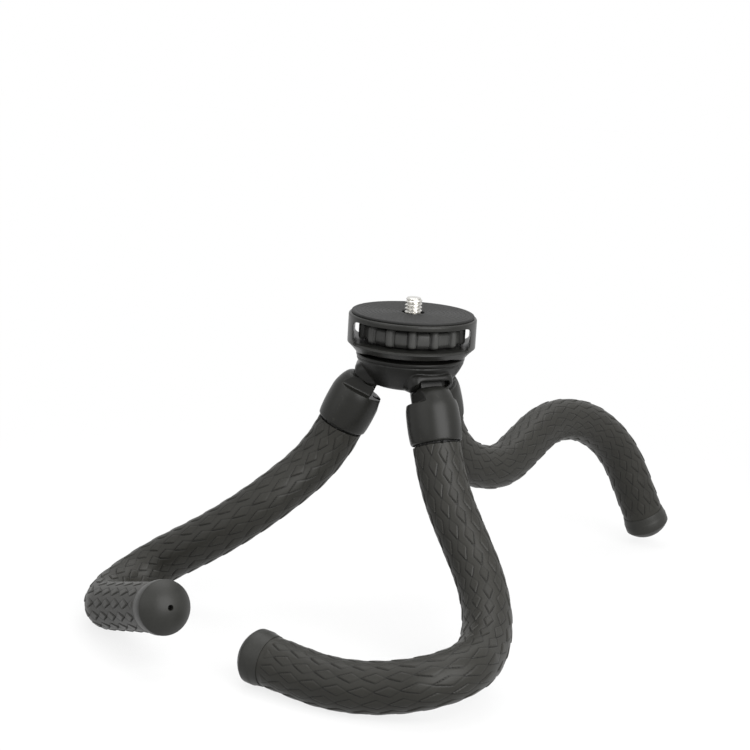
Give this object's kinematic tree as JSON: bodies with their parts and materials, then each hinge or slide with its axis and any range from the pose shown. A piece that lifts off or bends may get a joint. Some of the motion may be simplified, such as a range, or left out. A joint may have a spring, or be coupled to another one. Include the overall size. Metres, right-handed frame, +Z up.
{
  "type": "flexible leg camera support",
  "caption": "Small camera support: round head with a captive camera screw and a ribbed thumbwheel on a bowl-shaped hub that carries bendable rubber-sleeved legs with domed foot caps.",
  "frame": {"origin": "on the axis of the camera screw, at the face that the camera sits on", "axes": "+Z up along the camera screw; +X to the right and +Y away from the viewer as the picture shows it"},
  "size_m": [0.2398, 0.2307, 0.1261],
  "materials": {
    "moulded_plastic": "fine matt texture",
    "wheel_plastic": "satin",
    "pad_rubber": "matt",
    "leg_rubber": "matt with moulded scales",
    "cap_rubber": "smooth matt",
    "core_aluminium": "drawn",
    "screw_steel": "zinc plated",
    "small_steel": "turned",
    "washer_nylon": "smooth"
  },
  "bodies": {
    "hub": {"hub_bowl": "moulded_plastic", "hub_cover": "moulded_plastic", "cover_screws": "small_steel", "hinge_pins": "small_steel", "hip_washers": "washer_nylon"},
    "head": {"head_cage": "moulded_plastic", "camera_pad": "pad_rubber", "glide_washer": "washer_nylon", "pan_bolt": "small_steel", "pan_nut": "small_steel", "brake_washer": "small_steel"},
    "wheel": {"thumbwheel": "wheel_plastic", "camera_screw": "screw_steel", "screw_clip": "small_steel"},
    "left_link_1": {"left_neck": "moulded_plastic", "left_collar": "moulded_plastic", "left_neck_screw": "small_steel", "left_sleeve_1": "leg_rubber", "left_core_1": "core_aluminium"},
    "left_link_2": {"left_sleeve_2": "leg_rubber", "left_core_2": "core_aluminium"},
    "left_link_3": {"left_sleeve_3": "leg_rubber", "left_core_3": "core_aluminium"},
    "left_link_4": {"left_sleeve_4": "leg_rubber", "left_core_4": "core_aluminium"},
    "left_link_5": {"left_sleeve_5": "leg_rubber", "left_core_5": "core_aluminium", "left_foot_cap": "cap_rubber"},
    "front_link_1": {"front_neck": "moulded_plastic", "front_collar": "moulded_plastic", "front_neck_screw": "small_steel", "front_sleeve_1": "leg_rubber", "front_core_1": "core_aluminium"},
    "front_link_2": {"front_sleeve_2": "leg_rubber", "front_core_2": "core_aluminium"},
    "front_link_3": {"front_sleeve_3": "leg_rubber", "front_core_3": "core_aluminium"},
    "front_link_4": {"front_sleeve_4": "leg_rubber", "front_core_4": "core_aluminium"},
    "front_link_5": {"front_sleeve_5": "leg_rubber", "front_core_5": "core_aluminium", "front_foot_cap": "cap_rubber"},
    "right_link_1": {"right_neck": "moulded_plastic", "right_collar": "moulded_plastic", "right_neck_screw": "small_steel", "right_sleeve_1": "leg_rubber", "right_core_1": "core_aluminium"},
    "right_link_2": {"right_sleeve_2": "leg_rubber", "right_core_2": "core_aluminium"},
    "right_link_3": {"right_sleeve_3": "leg_rubber", "right_core_3": "core_aluminium"},
    "right_link_4": {"right_sleeve_4": "leg_rubber", "right_core_4": "core_aluminium"},
    "right_link_5": {"right_sleeve_5": "leg_rubber", "right_core_5": "core_aluminium", "right_foot_cap": "cap_rubber"}
  },
  "joints": [
    {"name": "head_pan", "type": "hinge", "parent": "hub", "child": "head", "pos_m": [0, 0, -0.0186], "axis": [0, 0, 1], "continuous": true},
    {"name": "thumbwheel_turn", "type": "hinge", "parent": "head", "child": "wheel", "pos_m": [0, 0, -0.0086], "axis": [0, 0, 1], "continuous": true},
    {"name": "left_hip", "type": "hinge", "parent": "hub", "child": "left_link_1", "pos_m": [-0.01328, 0.0007, -0.0236], "axis": [0.0523, 0.9986, 0], "range_deg": [-7, 0]},
    {"name": "left_bend_1", "type": "hinge", "parent": "left_link_1", "child": "left_link_2", "pos_m": [-0.03124, 0.00082, -0.05707], "axis": [-0.5463, 0.7957, 0.2614], "range_deg": [-32.6, 15], "deforming": ["left_sleeve_1", "left_core_1", "left_sleeve_2", "left_core_2"]},
    {"name": "left_bend_2", "type": "hinge", "parent": "left_link_2", "child": "left_link_3", "pos_m": [-0.05956, -0.00835, -0.08115], "axis": [0.586, 0.1527, -0.7958], "range_deg": [-33, 15], "deforming": ["left_sleeve_2", "left_core_2", "left_sleeve_3", "left_core_3"]},
    {"name": "left_bend_3", "type": "hinge", "parent": "left_link_3", "child": "left_link_4", "pos_m": [-0.09586, -0.0014, -0.10588], "axis": [-0.5443, 0.0662, 0.8363], "range_deg": [-69, 15], "deforming": ["left_sleeve_3", "left_core_3", "left_sleeve_4", "left_core_4"]},
    {"name": "left_bend_4", "type": "hinge", "parent": "left_link_4", "child": "left_link_5", "pos_m": [-0.10823, -0.02147, -0.11256], "axis": [-0.497, 0.0254, 0.8674], "range_deg": [-72, 15], "deforming": ["left_sleeve_4", "left_core_4", "left_sleeve_5", "left_core_5"]},
    {"name": "front_hip", "type": "hinge", "parent": "hub", "child": "front_link_1", "pos_m": [0.00604, -0.01185, -0.0236], "axis": [-0.891, -0.454, 0], "range_deg": [-24, 0]},
    {"name": "front_bend_1", "type": "hinge", "parent": "front_link_1", "child": "front_link_2", "pos_m": [0.01456, -0.02788, -0.05852], "axis": [-0.5851, -0.7874, 0.1941], "range_deg": [-16, 15], "deforming": ["front_sleeve_1", "front_core_1", "front_sleeve_2", "front_core_2"]},
    {"name": "front_bend_2", "type": "hinge", "parent": "front_link_2", "child": "front_link_3", "pos_m": [0.03322, -0.05847, -0.09915], "axis": [-0.7282, 0.3312, -0.6001], "range_deg": [-72.1, 15], "deforming": ["front_sleeve_2", "front_core_2", "front_sleeve_3", "front_core_3"]},
    {"name": "front_bend_3", "type": "hinge", "parent": "front_link_3", "child": "front_link_4", "pos_m": [0.01801, -0.09419, -0.10499], "axis": [0.226, -0.0735, -0.9713], "range_deg": [-72.1, 15], "deforming": ["front_sleeve_3", "front_core_3", "front_sleeve_4", "front_core_4"]},
    {"name": "front_bend_4", "type": "hinge", "parent": "front_link_4", "child": "front_link_5", "pos_m": [-0.01421, -0.09261, -0.11166], "axis": [0.2478, 0.4578, -0.8538], "range_deg": [-32.7, 15], "deforming": ["front_sleeve_4", "front_core_4", "front_sleeve_5", "front_core_5"]},
    {"name": "right_hip", "type": "hinge", "parent": "hub", "child": "right_link_1", "pos_m": [0.00724, 0.01115, -0.0236], "axis": [0.8387, -0.5446, 0], "range_deg": [-24, 0]},
    {"name": "right_bend_1", "type": "hinge", "parent": "right_link_1", "child": "right_link_2", "pos_m": [0.02039, 0.02966, -0.06252], "axis": [0.6565, -0.7448, -0.1189], "range_deg": [-55.3, 15], "deforming": ["right_sleeve_1", "right_core_1", "right_sleeve_2", "right_core_2"]},
    {"name": "right_bend_2", "type": "hinge", "parent": "right_link_2", "child": "right_link_3", "pos_m": [0.04051, 0.04932, -0.07072], "axis": [0.6804, -0.6148, 0.3989], "range_deg": [-34, 15], "deforming": ["right_sleeve_2", "right_core_2", "right_sleeve_3", "right_core_3"]},
    {"name": "right_bend_3", "type": "hinge", "parent": "right_link_3", "child": "right_link_4", "pos_m": [0.06388, 0.08324, -0.05837], "axis": [-0.6894, 0.6143, -0.384], "range_deg": [-34, 15], "deforming": ["right_sleeve_3", "right_core_3", "right_sleeve_4", "right_core_4"]},
    {"name": "right_bend_4", "type": "hinge", "parent": "right_link_4", "child": "right_link_5", "pos_m": [0.09119, 0.10836, -0.06863], "axis": [-0.7011, 0.666, -0.2549], "range_deg": [-57, 15], "deforming": ["right_sleeve_4", "right_core_4", "right_sleeve_5", "right_core_5"]}
  ]
}
